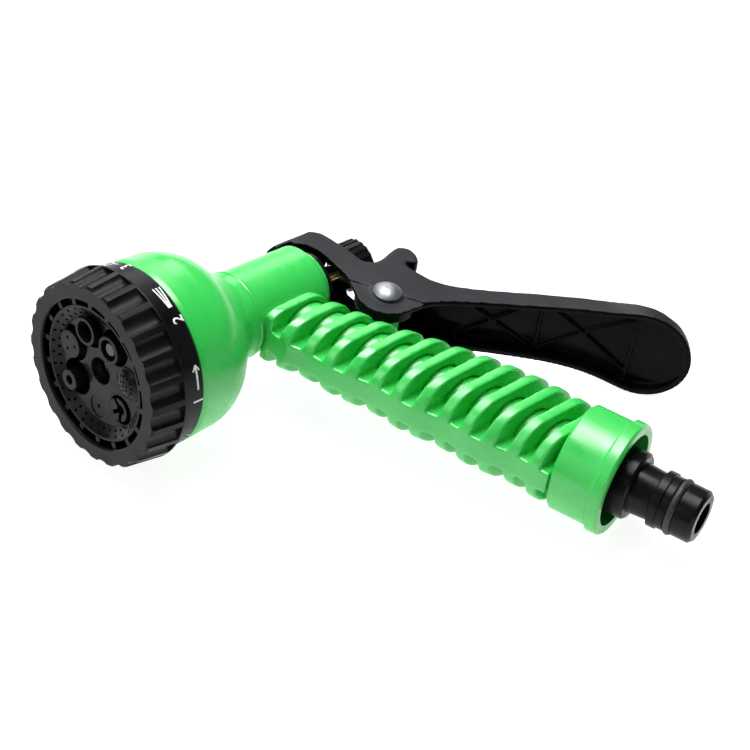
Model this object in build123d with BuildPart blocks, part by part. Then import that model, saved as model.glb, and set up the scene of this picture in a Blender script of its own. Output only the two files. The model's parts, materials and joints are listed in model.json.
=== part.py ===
"""Rear-trigger garden hose spray nozzle, as an assembly of separate pieces.

Every piece is drawn in the frame of the nozzle in use and in millimetres. The spray barrel lies
along X and points to +X, the handle hangs down from it, and the origin is where the barrel's and
the handle's axes cross. The last step turns the finished pieces to the way the nozzle lies on its
side, resting on its dial, its trigger and its end collar.
"""
from build123d import *
import os
from math import cos, radians, sin

# ---- driving dimensions ---------------------------------------------------------------------
HANDLE_LEAN = 18.15          # backward lean of the handle from straight down, degrees
LEAN_SIN = sin(radians(HANDLE_LEAN))
LEAN_COS = cos(radians(HANDLE_LEAN))
DOWN_HANDLE = Vector(-LEAN_SIN, 0, -LEAN_COS)
REARWARD = Vector(-LEAN_COS, 0, LEAN_SIN)
FIT = 0.05                   # radial running clearance of shafts and pins

BARREL_R = 12.6
BARREL_REAR = -15.7
BARREL_FRONT = 11.0
CHAMBER_FRONT = 9.5
BOSS_R = 10.0                # reduced boss behind the barrel
BOSS_REAR = -18.0
CHAMBER_R = 8.8
SPIGOT_R = 11.0              # barrel's front spigot, welded into the bell's neck
SPIGOT_FRONT = 15.0
CORE_TOP_R = 7.4             # water tube inside the grip, tapering to the barrel
CORE_LOW_R = 8.5
CORE_BORE_R = 6.0
CORE_END = 108.0             # distance along the handle

BELL_R = 27.1
BELL_MOUTH = 44.0
HUB_SEAT_R = 24.6            # bore of the bell's mouth, and the fixed outlet plate in it
HUB_BACK = 38.0
HUB_FACE = 44.0

DIAL_BACK = 44.4
BAND_R = 27.25
BAND_END = 51.3
KNURL_REAR_R = 28.7
DIAL_FRONT = 62.5
KNURL_FRONT_R = 27.6
FLUTE_COUNT = 24
FLUTE_START = 87.0           # angle of one crest, degrees
DIAL_OPEN_R = 22.3
DIAL_WELL_R = 23.4
LUG_COUNT = 18
FACE_R = 20.3
FACE_FRONT = 59.0
PATTERN_R = 12.3             # radius of the circle of spray outlets
PATTERN_STEP = 360 / 7
JET_ANGLE = 133.0            # the jet outlet; the others follow clockwise, one step apart
RAIN_HOLE_R = 0.42

PIVOT_X = -27.0
PIVOT_Z = -23.4
PIN_R = 2.6
EAR_R = 9.2
LEVER_HALF = 9.0             # half width of the trigger at its pivot
LEVER_WALL = 1.8
SPOON_R = 14.4               # rounded end of the trigger, seen from behind
RIVET_HEAD_R = 4.3

STEM_R = 2.5
KNOB_FRONT = -31.4
KNOB_REAR = -39.5
KNOB_R = 7.2

GRIP_TOP = 3.0               # distances along the handle
GRIP_END = 103.0
GRIP_FRONT = 15.6            # how far the front spine is ahead of the handle axis
FINGER_WAVE = 0.6            # the spine swells and dips by this much under the fingers
GROOVE_COUNT = 13
RIB_PITCH = 7.45
RIB_TILT = 16.0              # the ribs drop this much towards the trigger, degrees
GROOVE_WIDTH = 3.8
FIRST_GROOVE = 12.4
FIRST_RIB_TOP = 7.2
SPINE_HALF = 3.5
GRIP_STEPS = 24
GRIP_ROUNDING = 0.86         # corner radius of the section, as a share of its half thickness

COLLAR_R = 16.0
COLLAR_TOP = 103.2
COLLAR_LIP = 115.3
COLLAR_END = 119.6
ADAPTER_BODY_R = 10.1
ADAPTER_BODY_END = 123.9
ADAPTER_NECK_R = 7.2
ADAPTER_RIDGE_R = 8.45
ADAPTER_TIP_R = 7.95
ADAPTER_END = 144.0
ADAPTER_BORE_R = 4.7
O_RING_AT = 136.6
O_RING_WIRE = 1.2
O_RING_FLOOR_R = 6.1

REST_LEAN_BARREL = 4.83      # lean of the barrel, its dial end up, when the nozzle lies on its side
REST_LEAN_HANDLE = 2.11      # lean of the handle, its hose end down, as it lies

# ---- planes and axes ------------------------------------------------------------------------
BARREL_PLANE = Plane.XZ      # local x along the barrel, local y = radius upwards
BARREL_AXIS = Axis.X
HANDLE_PLANE = Plane(origin=(0, 0, 0), x_dir=DOWN_HANDLE, z_dir=(0, 1, 0))
HANDLE_AXIS = Axis((0, 0, 0), DOWN_HANDLE)
PIVOT_PLANE = Plane(origin=(PIVOT_X, 0, PIVOT_Z), x_dir=(1, 0, 0), z_dir=(0, 1, 0))


def across_handle(distance, tilt=0.0, ahead=0.0):
    """Plane square to the handle axis, tilted so that its rear side drops towards the collar."""
    t = radians(tilt)
    origin = DOWN_HANDLE * distance + REARWARD * ahead
    return Plane(
        origin=origin,
        x_dir=REARWARD * cos(t) + DOWN_HANDLE * sin(t),
        z_dir=DOWN_HANDLE * cos(t) - REARWARD * sin(t),
    )


def across_barrel(x):
    """Plane square to the barrel: local x is the nozzle's +Y, local y is its +Z."""
    return Plane(origin=(x, 0, 0), x_dir=(0, 1, 0), z_dir=(1, 0, 0))


def turn(points, plane, axis, mode=Mode.ADD):
    """Turned solid from (along, radius) points, or a turned cut with Mode.SUBTRACT."""
    with BuildSketch(plane) as profile:
        with BuildLine():
            Polyline(*points, close=True)
        make_face()
    revolve(profile.sketch, axis=axis, mode=mode)


def tube(start, end, outer, inner, plane=BARREL_PLANE, axis=BARREL_AXIS, mode=Mode.ADD):
    """Plain tube between two distances along an axis."""
    turn([(start, inner), (end, inner), (end, outer), (start, outer)], plane, axis, mode)


def o_ring(at, centre_r, wire_r, plane, axis):
    """Rubber ring of round section."""
    with BuildSketch(plane) as section:
        with Locations((at, centre_r)):
            Circle(wire_r)
    revolve(section.sketch, axis=axis)


def on_circle(radius, angle):
    return (radius * cos(radians(angle)), radius * sin(radians(angle)))


# ---- barrel, with the handle's water tube and the trigger's pivot lug ------------------------
LUG_HALF = 4.6
LUG_R = 4.9
lug_end = (PIVOT_X, PIVOT_Z)
with BuildPart() as barrel_body:
    turn(
        [
            (BOSS_REAR, 0), (BOSS_REAR, BOSS_R), (BARREL_REAR, BOSS_R), (BARREL_REAR, BARREL_R - 0.8),
            (BARREL_REAR + 0.8, BARREL_R), (BARREL_FRONT, BARREL_R), (BARREL_FRONT, SPIGOT_R),
            (SPIGOT_FRONT, SPIGOT_R), (SPIGOT_FRONT, 0),
        ],
        BARREL_PLANE, BARREL_AXIS,
    )
    turn([(0, 0), (0, CORE_TOP_R), (CORE_END, CORE_LOW_R), (CORE_END, 0)], HANDLE_PLANE, HANDLE_AXIS)
    # flange that the end collar clamps
    tube(COLLAR_TOP + 0.3, CORE_END, 12.5, 0, HANDLE_PLANE, HANDLE_AXIS)
    # lug from the tube back to the pivot
    with BuildSketch(Plane.XZ):
        with BuildLine():
            root_top = DOWN_HANDLE * 31 + REARWARD * 5
            root_low = DOWN_HANDLE * 38 + REARWARD * 5
            Polyline(
                (root_top.X, root_top.Z), (PIVOT_X + 3.4, PIVOT_Z + 3.5),
                (PIVOT_X - 2.0, PIVOT_Z - LUG_R), (root_low.X, root_low.Z), close=True,
            )
        make_face()
        with Locations(lug_end):
            Circle(LUG_R)
    extrude(amount=LUG_HALF, both=True)
    # valve chamber open at the rear for the gland, and the outlet through the spigot
    tube(BOSS_REAR, CHAMBER_FRONT, CHAMBER_R, 0, mode=Mode.SUBTRACT)
    tube(CHAMBER_FRONT, SPIGOT_FRONT, 7.6, 0, mode=Mode.SUBTRACT)
    tube(0, CORE_END, CORE_BORE_R, 0, HANDLE_PLANE, HANDLE_AXIS, Mode.SUBTRACT)
    with BuildSketch(PIVOT_PLANE):
        Circle(PIN_R + FIT)
    extrude(amount=LUG_HALF + 1, both=True, mode=Mode.SUBTRACT)

# ---- bell housing, welded to the barrel -------------------------------------------------------
with BuildPart() as bell_housing:
    with BuildSketch(BARREL_PLANE):
        with BuildLine():
            back = Polyline((BARREL_FRONT, SPIGOT_R), (BARREL_FRONT, 12.9), (13.4, 12.9))
            neck = TangentArc(back @ 1, (16.2, 14.1), tangent=(1, 0.02))
            flare = Line(neck @ 1, (24.0, 21.8))
            shoulder = TangentArc(flare @ 1, (33.0, 26.4), tangent=flare % 1)
            rim = Polyline(
                shoulder @ 1, (42.6, BELL_R), (BELL_MOUTH, BELL_R - 0.5),
                (BELL_MOUTH, HUB_SEAT_R), (33.0, HUB_SEAT_R),
            )
            inner = Polyline(rim @ 1, (26.0, 21.2), (17.0, 12.6), (SPIGOT_FRONT, SPIGOT_R))
            Line(inner @ 1, back @ 0)
        make_face()
    revolve(axis=BARREL_AXIS)

# raised bead of the weld between bell and barrel
with BuildPart() as weld_bead:
    turn(
        [(9.8, BARREL_R), (9.8, 12.8), (10.2, 13.1), (10.6, 13.1), (BARREL_FRONT, 12.9), (BARREL_FRONT, BARREL_R)],
        BARREL_PLANE, BARREL_AXIS,
    )

# ---- ribbed grip, moulded over the water tube -------------------------------------------------
def grip_section(distance):
    """Depth and thickness of the grip's rounded section, both halved: slim under the barrel."""
    stations = [
        (GRIP_TOP, 11.9, 9.0), (12, 12.1, 9.3), (37, 12.9, 10.0), (55, 14.6, 10.9),
        (72, 15.9, 11.6), (87, 16.2, 12.0), (GRIP_END, 15.6, 12.0),
    ]
    for (s0, depth0, thick0), (s1, depth1, thick1) in zip(stations, stations[1:]):
        if distance <= s1:
            share = (distance - s0) / (s1 - s0)
            return depth0 + (depth1 - depth0) * share, thick0 + (thick1 - thick0) * share
    return stations[-1][1:]


def spine_reach(distance):
    """How far ahead of the handle axis the front spine stands, waved every three ribs."""
    phase = 360 * (distance - FIRST_GROOVE) / (3 * RIB_PITCH)
    return GRIP_FRONT + FINGER_WAVE * cos(radians(phase))


with BuildPart() as grip_sleeve:
    for step in range(GRIP_STEPS + 1):
        station = GRIP_TOP + (GRIP_END - GRIP_TOP) * step / GRIP_STEPS
        half_depth, half_thick = grip_section(station)
        front = spine_reach(station)
        back = 2 * half_depth - GRIP_FRONT
        with BuildSketch(across_handle(station, ahead=(back - front) / 2)):
            RectangleRounded(front + back, 2 * half_thick, GRIP_ROUNDING * half_thick)
    loft()
    # the first rib hugs the barrel, and stops short of the bell
    tube(BOSS_REAR - 20, SPIGOT_FRONT, BARREL_R, 0, mode=Mode.SUBTRACT)
    tube(9.4, 30.0, 40.0, 0, mode=Mode.SUBTRACT)
    with BuildSketch(across_handle(FIRST_RIB_TOP, RIB_TILT, -GRIP_FRONT)):
        Rectangle(90, 60)
    extrude(amount=-30, mode=Mode.SUBTRACT)
    # open grooves between the ribs, left and right of the two spines
    for index in range(GROOVE_COUNT):
        with BuildSketch(across_handle(FIRST_GROOVE + RIB_PITCH * index, RIB_TILT, -GRIP_FRONT)):
            with Locations((22, 0)):
                Rectangle(60, 60)
                Rectangle(60, 2 * SPINE_HALF, mode=Mode.SUBTRACT)
        extrude(amount=GROOVE_WIDTH / 2, both=True, mode=Mode.SUBTRACT)
    turn(
        [(0, 0), (0, CORE_TOP_R), (CORE_END, CORE_LOW_R), (CORE_END, 0)],
        HANDLE_PLANE, HANDLE_AXIS, Mode.SUBTRACT,
    )
    # slot for the pivot lug
    with BuildSketch(Plane.XZ):
        with BuildLine():
            slot_top = DOWN_HANDLE * 27.0 + REARWARD * 4
            slot_low = DOWN_HANDLE * 40.0 + REARWARD * 4
            slot_out = DOWN_HANDLE * 36.0 + REARWARD * 30
            slot_up = DOWN_HANDLE * 22.0 + REARWARD * 30
            Polyline(
                (slot_top.X, slot_top.Z), (slot_up.X, slot_up.Z),
                (slot_out.X, slot_out.Z), (slot_low.X, slot_low.Z), close=True,
            )
        make_face()
    extrude(amount=LUG_HALF, both=True, mode=Mode.SUBTRACT)

# ---- end collar, hose adapter and their seals -------------------------------------------------
with BuildPart() as end_collar:
    turn(
        [
            (COLLAR_TOP, 12.5), (COLLAR_TOP, COLLAR_R - 0.8), (COLLAR_TOP + 0.8, COLLAR_R),
            (COLLAR_LIP, COLLAR_R), (COLLAR_LIP + 0.7, 17.0), (COLLAR_END - 0.6, 17.0),
            (COLLAR_END, 16.4), (COLLAR_END, 14.0), (110.0, 14.0), (110.0, 12.5),
        ],
        HANDLE_PLANE, HANDLE_AXIS,
    )

with BuildPart() as hose_adapter:
    turn(
        [
            (110.0, ADAPTER_BORE_R), (110.0, 14.0), (112.0, 14.0), (113.2, ADAPTER_BODY_R),
            (ADAPTER_BODY_END - 0.7, ADAPTER_BODY_R), (ADAPTER_BODY_END, ADAPTER_BODY_R - 0.7),
            (ADAPTER_BODY_END, 7.6), (130.0, ADAPTER_NECK_R), (130.6, ADAPTER_RIDGE_R),
            (132.9, ADAPTER_RIDGE_R), (133.1, ADAPTER_TIP_R), (O_RING_AT - 1.3, ADAPTER_TIP_R),
            (O_RING_AT - 1.3, O_RING_FLOOR_R), (O_RING_AT + 1.3, O_RING_FLOOR_R),
            (O_RING_AT + 1.3, ADAPTER_TIP_R), (ADAPTER_END - 1.0, ADAPTER_TIP_R),
            (ADAPTER_END, ADAPTER_TIP_R - 1.0), (ADAPTER_END, ADAPTER_BORE_R),
        ],
        HANDLE_PLANE, HANDLE_AXIS,
    )

with BuildPart() as adapter_o_ring:
    o_ring(O_RING_AT, O_RING_FLOOR_R + O_RING_WIRE, O_RING_WIRE, HANDLE_PLANE, HANDLE_AXIS)

with BuildPart() as inlet_washer:
    tube(CORE_END, 110.0, 12.0, 5.6, HANDLE_PLANE, HANDLE_AXIS)

# mesh cup that keeps grit out of the valve
with BuildPart() as inlet_screen:
    tube(CORE_END - 1.0, CORE_END, CORE_BORE_R, 5.0, HANDLE_PLANE, HANDLE_AXIS)
    tube(101.0, CORE_END - 1.0, 5.4, 4.8, HANDLE_PLANE, HANDLE_AXIS)
    tube(100.4, 101.0, 5.4, 0, HANDLE_PLANE, HANDLE_AXIS)
    with BuildSketch(across_handle(101.2)):
        with GridLocations(1.5, 1.5, 5, 5):
            Circle(0.45)
    extrude(amount=-1.2, mode=Mode.SUBTRACT)

# ---- valve ------------------------------------------------------------------------------------
SEAT_BACK = 6.0
GLAND_FRONT = -11.5
GLAND_REAR = -20.2
with BuildPart() as valve_seat:
    turn(
        [(SEAT_BACK, 5.0), (SEAT_BACK, 5.8), (SEAT_BACK + 0.6, 6.6), (SEAT_BACK + 0.6, CHAMBER_R),
         (CHAMBER_FRONT, CHAMBER_R), (CHAMBER_FRONT, 5.0)],
        BARREL_PLANE, BARREL_AXIS,
    )

with BuildPart() as gland_nut:
    turn(
        [
            (GLAND_FRONT, STEM_R + FIT), (GLAND_FRONT, CHAMBER_R), (BOSS_REAR, CHAMBER_R),
            (BOSS_REAR, 9.2), (GLAND_REAR + 0.4, 9.2), (GLAND_REAR, 8.8), (GLAND_REAR, STEM_R + FIT),
            (-17.0, STEM_R + FIT), (-17.0, 4.4), (-15.0, 4.4), (-15.0, STEM_R + FIT),
        ],
        BARREL_PLANE, BARREL_AXIS,
    )

with BuildPart() as stem_o_ring:
    o_ring(-16.0, STEM_R + FIT + 0.9, 0.9, BARREL_PLANE, BARREL_AXIS)

with BuildPart() as valve_stem:
    turn(
        [
            (-37.6, 0), (-37.6, STEM_R - 0.5), (-37.1, STEM_R), (1.0, STEM_R), (1.0, 3.2),
            (1.4, 3.2), (1.4, STEM_R), (8.2, STEM_R), (9.0, STEM_R - 0.8), (9.0, 0),
        ],
        BARREL_PLANE, BARREL_AXIS,
    )

with BuildPart() as valve_poppet:
    turn(
        [(1.4, STEM_R), (1.4, 6.6), (2.4, 7.4), (4.6, 7.4), (4.6, STEM_R)],
        BARREL_PLANE, BARREL_AXIS,
    )

with BuildPart() as poppet_seal:
    tube(4.6, 5.9, 7.0, STEM_R)

with BuildPart() as stem_nut:
    with BuildSketch(across_barrel(5.9)):
        RegularPolygon(4.3, 6)
        Circle(STEM_R, mode=Mode.SUBTRACT)
    extrude(amount=2.2)

SPRING_WIRE = 0.55
SPRING_R = 5.0
with BuildPart() as return_spring:
    with BuildLine():
        coil_path = Helix(pitch=2.1, height=10.5, radius=SPRING_R, center=(-10.3, 0, 0), direction=(1, 0, 0))
    with BuildSketch(Plane(origin=coil_path @ 0, z_dir=coil_path % 0)):
        Circle(SPRING_WIRE)
    sweep(is_frenet=True)

# ---- flow knob on the stem's threaded end -----------------------------------------------------
KNOB_RIDGES = 20
with BuildPart() as flow_knob:
    turn(
        [
            (KNOB_FRONT, 4.2), (KNOB_FRONT, KNOB_R - 0.9), (KNOB_FRONT - 0.7, KNOB_R - 0.2),
            (KNOB_REAR + 1.2, KNOB_R - 0.2), (KNOB_REAR, KNOB_R - 1.4), (KNOB_REAR, 0),
            (KNOB_REAR + 1.3, 0), (KNOB_REAR + 1.3, 4.2),
        ],
        BARREL_PLANE, BARREL_AXIS,
    )
    with BuildSketch(across_barrel(KNOB_REAR + 1.2)):
        with PolarLocations(KNOB_R - 0.35, KNOB_RIDGES):
            Rectangle(0.9, 1.0)
    extrude(amount=KNOB_FRONT - 0.7 - (KNOB_REAR + 1.2))

with BuildPart() as knob_insert:
    tube(KNOB_REAR + 1.6, KNOB_FRONT - 0.4, 4.2, STEM_R + FIT)

# ---- outlet hub: the fixed plate in the bell that the dial turns on ---------------------------
POST_R = 3.4
POST_END = 53.0
PORT_ANGLE = JET_ANGLE - PATTERN_STEP
PORT_R = 3.2
SEAL_R = 4.8
SEAL_DEPTH = 2.0
DETENT_RING_R = 19.0
DETENT_ANGLE = PORT_ANGLE - 3.5 * PATTERN_STEP
DETENT_BALL_R = 1.5
INDEX_BACK = 46.0
DETENT_TIP = INDEX_BACK - 0.05
port_spot = on_circle(PATTERN_R, PORT_ANGLE)
detent_spot = on_circle(DETENT_RING_R, DETENT_ANGLE)
with BuildPart() as outlet_hub:
    turn(
        [(HUB_BACK, 0), (HUB_BACK, HUB_SEAT_R), (HUB_FACE, HUB_SEAT_R), (HUB_FACE, POST_R), (POST_END, POST_R), (POST_END, 0)],
        BARREL_PLANE, BARREL_AXIS,
    )
    with BuildSketch(across_barrel(HUB_FACE)):
        with Locations(port_spot):
            Circle(PORT_R)
    extrude(amount=HUB_BACK - HUB_FACE, mode=Mode.SUBTRACT)
    with BuildSketch(across_barrel(HUB_FACE)):
        with Locations(port_spot):
            Circle(SEAL_R)
    extrude(amount=-SEAL_DEPTH, mode=Mode.SUBTRACT)
    with BuildSketch(across_barrel(HUB_FACE)):
        with Locations(detent_spot):
            Circle(DETENT_BALL_R + FIT)
    extrude(amount=-5.0, mode=Mode.SUBTRACT)
    with BuildSketch(across_barrel(POST_END)):
        Circle(1.5)
    extrude(amount=-9.0, mode=Mode.SUBTRACT)

with BuildPart() as dial_seal:
    with BuildSketch(across_barrel(HUB_FACE - SEAL_DEPTH)):
        with Locations(port_spot):
            Circle(SEAL_R)
            Circle(PORT_R, mode=Mode.SUBTRACT)
    extrude(amount=INDEX_BACK - 0.05 - (HUB_FACE - SEAL_DEPTH))

with BuildPart() as detent_ball:
    with Locations((DETENT_TIP - DETENT_BALL_R, *detent_spot)):
        Sphere(DETENT_BALL_R)

with BuildPart() as detent_spring:
    with BuildLine():
        detent_path = Helix(pitch=0.9, height=2.7, radius=1.05, center=(39.4, *detent_spot), direction=(1, 0, 0))
    with BuildSketch(Plane(origin=detent_path @ 0, z_dir=detent_path % 0)):
        Circle(0.2)
    sweep(is_frenet=True)

# ---- dial: knurled ring, spray face and its inserts -------------------------------------------
FACE_SEAT_R = DIAL_WELL_R
CENTRE_HOLE_R = 4.1
SEAT_R = 5.05                # shower and fan inserts
INSERT_BACK = 56.0


def pattern_spot(index):
    """Centre of a spray outlet, counted clockwise from the jet as seen on the dial."""
    return on_circle(PATTERN_R, JET_ANGLE - PATTERN_STEP * index)


FLUTE_BACK = BAND_END + 1.0
FLUTE_LENGTH = DIAL_FRONT - BAND_END
taper = (KNURL_REAR_R - KNURL_FRONT_R) / FLUTE_LENGTH
with BuildPart(mode=Mode.PRIVATE) as flute:
    # scoop on top of the ring, sinking as fast as the ring tapers
    flute_start = Plane(
        origin=(FLUTE_BACK, 0, KNURL_REAR_R + 0.7), x_dir=(0, 1, 0), z_dir=Vector(1, 0, -taper).normalized(),
    )
    with BuildSketch(flute_start):
        Ellipse(3.15, 2.0)
    extrude(amount=FLUTE_LENGTH)

with BuildPart() as dial_ring:
    turn(
        [
            (DIAL_BACK, DIAL_WELL_R), (DIAL_BACK, BAND_R - 0.4), (DIAL_BACK + 0.4, BAND_R),
            (BAND_END, BAND_R), (BAND_END, KNURL_REAR_R - 0.4), (BAND_END + 0.4, KNURL_REAR_R),
            (DIAL_FRONT - 0.5, KNURL_FRONT_R), (DIAL_FRONT, KNURL_FRONT_R - 0.5),
            (DIAL_FRONT, DIAL_OPEN_R + 0.4), (DIAL_FRONT - 0.4, DIAL_OPEN_R),
            (DIAL_FRONT - 0.9, DIAL_OPEN_R), (DIAL_FRONT - 2.4, DIAL_WELL_R),
        ],
        BARREL_PLANE, BARREL_AXIS,
    )
    # scooped finger flutes with a step at their rear end, open at the front
    for index in range(FLUTE_COUNT):
        turned = FLUTE_START - 90 + (index + 0.5) * 360 / FLUTE_COUNT
        add(flute.part.rotate(BARREL_AXIS, turned), mode=Mode.SUBTRACT)
    # lugs that bridge the dark well round the spray face
    with BuildSketch(across_barrel(60.2)):
        with PolarLocations((FACE_R + DIAL_WELL_R) / 2 + 0.1, LUG_COUNT, start_angle=54):
            Rectangle(DIAL_WELL_R - FACE_R + 0.1, 1.6)
    extrude(amount=1.2)

with BuildPart() as spray_face:
    turn(
        [
            (50.0, 0), (50.0, FACE_SEAT_R), (55.0, FACE_SEAT_R), (55.0, FACE_R - 0.1),
            (61.3, FACE_R - 0.1), (61.3, 19.6), (FACE_FRONT, 16.2), (FACE_FRONT, 0),
        ],
        BARREL_PLANE, BARREL_AXIS,
    )
    # wells round the standing outlets
    with BuildSketch(across_barrel(FACE_FRONT)):
        for index in range(4):
            with Locations(pattern_spot(index)):
                Circle(5.5)
    extrude(amount=-5.0, mode=Mode.SUBTRACT)
    # seats for the fan and shower inserts
    with BuildSketch(across_barrel(INSERT_BACK)):
        for index in (4, 5):
            with Locations(pattern_spot(index)):
                Circle(SEAT_R + FIT)
    extrude(amount=6.0, mode=Mode.SUBTRACT)
    # standing outlets: jet, three-hole post, wide tube, cone tube
    for index, (radius, tip) in enumerate([(3.0, 62.0), (4.1, 60.6), (4.1, 61.2), (4.1, 61.4)]):
        with BuildSketch(across_barrel(53.0)):
            with Locations(pattern_spot(index)):
                Circle(radius)
        extrude(amount=tip - 53.0)
    # shallow dish of the mist outlet
    with BuildSketch(across_barrel(FACE_FRONT)):
        with Locations(pattern_spot(6)):
            Circle(3.4)
    extrude(amount=-0.3, mode=Mode.SUBTRACT)
    # water ways through the outlets
    for index, bore in enumerate([1.45, 0, 3.2, 3.2, 2.6, 2.6, 0.6]):
        if bore:
            with BuildSketch(across_barrel(50.0)):
                with Locations(pattern_spot(index)):
                    Circle(bore)
            extrude(amount=14, mode=Mode.SUBTRACT)
    with BuildSketch(across_barrel(50.0)):
        with Locations(pattern_spot(1)):
            with PolarLocations(2.1, 3, start_angle=40):
                Circle(0.5)
    extrude(amount=14, mode=Mode.SUBTRACT)
    # centre: bore for the hub's post, and the hole that shows the screw
    with BuildSketch(across_barrel(50.0)):
        Circle(POST_R + FIT)
    extrude(amount=14, mode=Mode.SUBTRACT)
    with BuildSketch(across_barrel(POST_END - FIT)):
        Circle(CENTRE_HOLE_R)
    extrude(amount=14, mode=Mode.SUBTRACT)
    # two rings of rain holes in the sloping rim
    with BuildSketch(across_barrel(57.0)):
        with PolarLocations(17.4, 40):
            Circle(RAIN_HOLE_R)
        with PolarLocations(18.9, 32, start_angle=4):
            Circle(RAIN_HOLE_R)
    extrude(amount=6, mode=Mode.SUBTRACT)

with BuildPart() as index_plate:
    turn(
        [(INDEX_BACK, POST_R + FIT), (INDEX_BACK, FACE_SEAT_R), (50.0, FACE_SEAT_R), (50.0, POST_R + FIT)],
        BARREL_PLANE, BARREL_AXIS,
    )
    with BuildSketch(across_barrel(INDEX_BACK)):
        with PolarLocations(PATTERN_R, 7, start_angle=JET_ANGLE):
            Circle(2.6)
    extrude(amount=4.0, mode=Mode.SUBTRACT)
    with BuildSketch(across_barrel(INDEX_BACK)):
        with PolarLocations(DETENT_RING_R, 7, start_angle=DETENT_ANGLE):
            Circle(1.3)
    extrude(amount=0.8, taper=35, mode=Mode.SUBTRACT)

SHOWER_R = 4.7
shower_y, shower_z = pattern_spot(4)
with BuildPart() as shower_insert:
    with BuildSketch(Plane(origin=(0, shower_y, shower_z), x_dir=(1, 0, 0), z_dir=(0, -1, 0))):
        with BuildLine():
            Polyline((60.9, 0), (56.0, 0), (56.0, SEAT_R), (59.3, SEAT_R), (59.3, SHOWER_R))
            ThreePointArc((59.3, SHOWER_R), (60.5, 2.6), (60.9, 0))
        make_face()
    revolve(axis=Axis((0, shower_y, shower_z), (1, 0, 0)))
    with BuildSketch(across_barrel(56.0)):
        with Locations((shower_y, shower_z)):
            Circle(0.36)
            with PolarLocations(1.5, 6):
                Circle(0.36)
            with PolarLocations(3.0, 12, start_angle=15):
                Circle(0.36)
    extrude(amount=6, mode=Mode.SUBTRACT)

fan_y, fan_z = pattern_spot(5)
FAN_PETALS = (55, 134, 184)  # angles of the slots between the petals, degrees
with BuildPart() as fan_insert:
    with BuildSketch(across_barrel(INSERT_BACK)):
        with Locations((fan_y, fan_z)):
            Circle(SEAT_R)
    extrude(amount=FACE_FRONT - INSERT_BACK)
    # crescent that frees the spreading lip, widest away from the dial's centre
    lip_y, lip_z = on_circle(1.1, 125)
    with BuildSketch(across_barrel(FACE_FRONT)):
        with Locations((fan_y, fan_z)):
            Circle(4.5)
        with Locations((fan_y + lip_y, fan_z + lip_z)):
            Circle(3.6, mode=Mode.SUBTRACT)
    extrude(amount=-2.4, mode=Mode.SUBTRACT)
    # flared slots and the outlet between the petals
    with BuildSketch(across_barrel(FACE_FRONT)):
        for angle in FAN_PETALS:
            with Locations(Location((fan_y, fan_z, 0), angle)):
                with Locations((2.0, 0)):
                    Rectangle(4.0, 1.2)
    extrude(amount=-2.0, mode=Mode.SUBTRACT)
    with BuildSketch(across_barrel(FACE_FRONT)):
        with Locations((fan_y, fan_z)):
            Circle(1.5)
    extrude(amount=INSERT_BACK - FACE_FRONT, mode=Mode.SUBTRACT)

cone_y, cone_z = pattern_spot(3)
with BuildPart() as cone_pin:
    with BuildSketch(across_barrel(50.2)):
        with Locations((cone_y, cone_z)):
            Circle(3.2)
            with PolarLocations(2.5, 3):
                Circle(0.6, mode=Mode.SUBTRACT)
    extrude(amount=1.6)
    with BuildSketch(across_barrel(51.0)):
        with Locations((cone_y, cone_z)):
            Circle(2.0)
    extrude(amount=9.8)
    fillet(cone_pin.edges().sort_by(Axis.X)[-1], radius=0.4)

with BuildPart() as dial_washer:
    tube(POST_END, POST_END + 0.8, CENTRE_HOLE_R - 0.15, 1.55)

with BuildPart() as dial_screw:
    turn(
        [
            (POST_END - 7.5, 0), (POST_END - 7.0, 1.5), (POST_END + 0.8, 1.5), (POST_END + 0.8, 3.0),
            (POST_END + 2.2, 3.0), (POST_END + 3.0, 1.8), (POST_END + 3.2, 0),
        ],
        BARREL_PLANE, BARREL_AXIS,
    )
    with BuildSketch(across_barrel(POST_END + 3.3)):
        Rectangle(3.4, 0.7)
        Rectangle(0.7, 3.4)
    extrude(amount=-1.5, mode=Mode.SUBTRACT)

# ---- trigger ----------------------------------------------------------------------------------
CHORD_ANGLE = 44.4           # the arm's chord below the rearward direction, degrees
arm_dir = Vector(-cos(radians(CHORD_ANGLE)), 0, -sin(radians(CHORD_ANGLE)))
arm_out = Vector(-sin(radians(CHORD_ANGLE)), 0, cos(radians(CHORD_ANGLE)))
ARM_START = Vector(-36.0, 0, -36.0)
ARM_PLANE = Plane(origin=ARM_START, x_dir=arm_dir, z_dir=arm_out)
SPOON_CENTRE = 61.4          # along the arm's chord
back_points = [
    (-18.4, 10.6), (-26.6, 11.2), (-29.5, 7.8), (-30.6, 1.0), (-31.1, -6.0), (-34.6, -10.2),
    (-40.2, -9.2), (-45.4, -8.7), (-47.5, -11.8), (-43.8, -17.0), (-42.2, -22.3),
    (-48.4, -32.4), (-61.6, -44.0), (-74.5, -56.6), (-84.4, -71.0), (-90.0, -82.0), (-93.4, -91.5),
]


def inset_points(points, depth):
    """The same outline, moved inwards from the trigger's back by a wall's depth."""
    moved = []
    for i, (x, z) in enumerate(points):
        before = points[max(i - 1, 0)]
        after = points[min(i + 1, len(points) - 1)]
        along = Vector(after[0] - before[0], 0, after[1] - before[1]).normalized()
        moved.append((x - depth * along.Z, z + depth * along.X))
    return moved


def trigger_back(depth=0.0):
    """Rear outline of the trigger: roof, back web, thumb horn and the long curved arm."""
    points = inset_points(back_points, depth)
    roof = Line(points[0], points[1])
    curve = Spline(*points[1:5], tangents=[(-1, -0.5), (0, -1)])
    horn = Spline(*points[4:11], tangents=[(0, -1), (-0.2, -1)])
    arm = Spline(*points[10:], tangents=[(-0.2, -1), (-0.42, -1)])
    return roof, curve, horn, arm


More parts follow.
